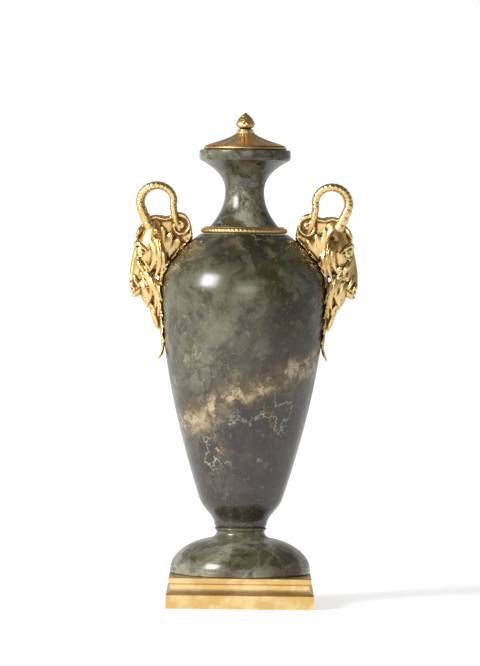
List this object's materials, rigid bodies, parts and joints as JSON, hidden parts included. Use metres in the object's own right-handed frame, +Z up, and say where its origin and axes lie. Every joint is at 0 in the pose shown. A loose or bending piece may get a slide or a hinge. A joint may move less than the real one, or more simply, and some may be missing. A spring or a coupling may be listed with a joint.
{
  "type": "mantel urn",
  "caption": "Lidded mantel urn in dark veined marble on a domed foot and square gilt-bronze plinth, with horned goat-mask handles.",
  "frame": {"origin": "middle of the plinth's underside, where the urn rests", "axes": "+Z up through the finial; X through the two handles, +X the right-hand one; +Y to the back"},
  "size_m": [0.2092, 0.1526, 0.45],
  "materials": {
    "marble": "polished grey-green marble with brown, cream and violet-grey clouds and veins",
    "gilt_bronze": "cast and chased bronze, mercury gilded, burnished on the high parts and matt in the hollows"
  },
  "bodies": {
    "root": {"plinth": "gilt_bronze", "foot": "marble", "body": "marble", "collar_ring": "gilt_bronze", "neck": "marble", "lid": "gilt_bronze", "finial": "gilt_bronze", "handle_right": "gilt_bronze", "handle_left": "gilt_bronze"}
  },
  "joints": []
}
